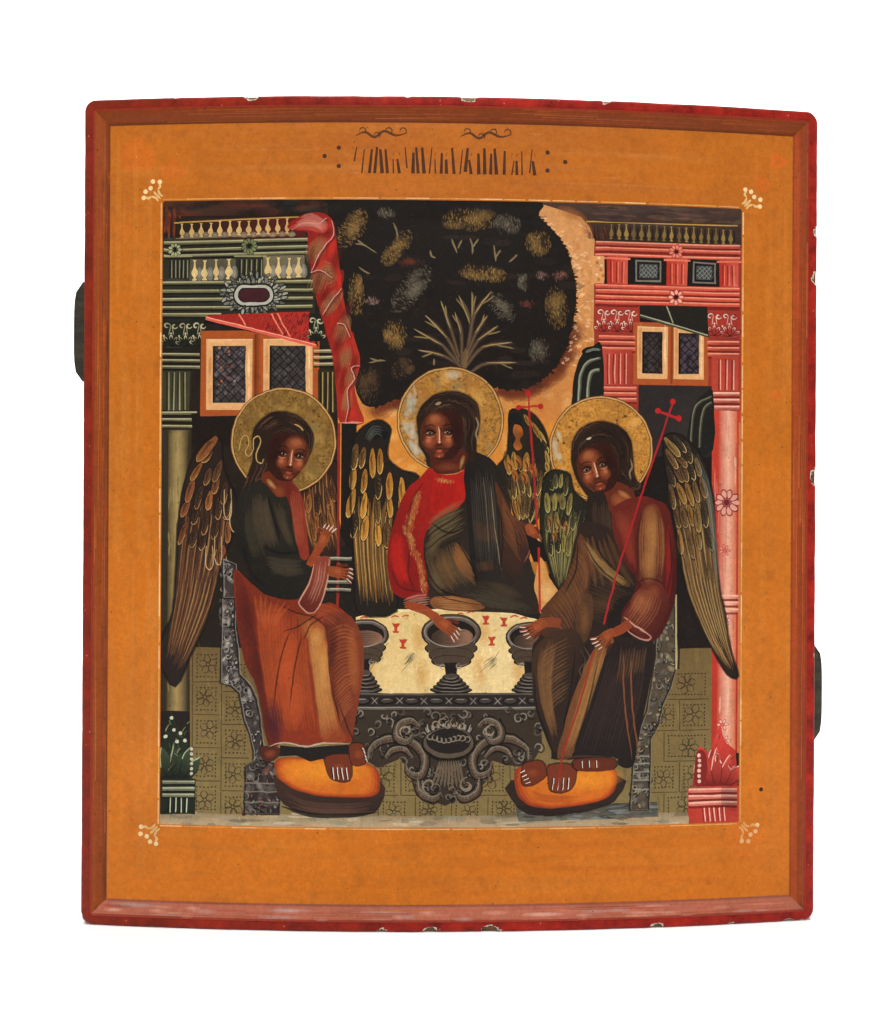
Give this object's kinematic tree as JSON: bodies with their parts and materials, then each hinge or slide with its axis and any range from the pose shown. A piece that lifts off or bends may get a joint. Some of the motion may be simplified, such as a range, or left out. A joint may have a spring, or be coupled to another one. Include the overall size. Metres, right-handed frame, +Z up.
{
  "type": "icon panel",
  "caption": "Painted devotional panel: a cupped wooden board with a stepped hollow in its face, kept flat by tapered battens in its back.",
  "frame": {"origin": "under the middle of the whole object's box, at the height of the lower edge that it stands on", "axes": "+Z is up along the board's height, +X is the viewer's right, and the painted face looks along -Y"},
  "size_m": [0.3346, 0.0416, 0.35],
  "materials": {
    "painted_board": "egg tempera and gesso under old varnish on the face and the rim, bare aged wood on the edges and the back",
    "batten_wood": "bare, planed by hand and darkened with age"
  },
  "bodies": {
    "root": {"panel": "painted_board", "upper_batten": "batten_wood", "lower_batten": "batten_wood"}
  },
  "joints": []
}
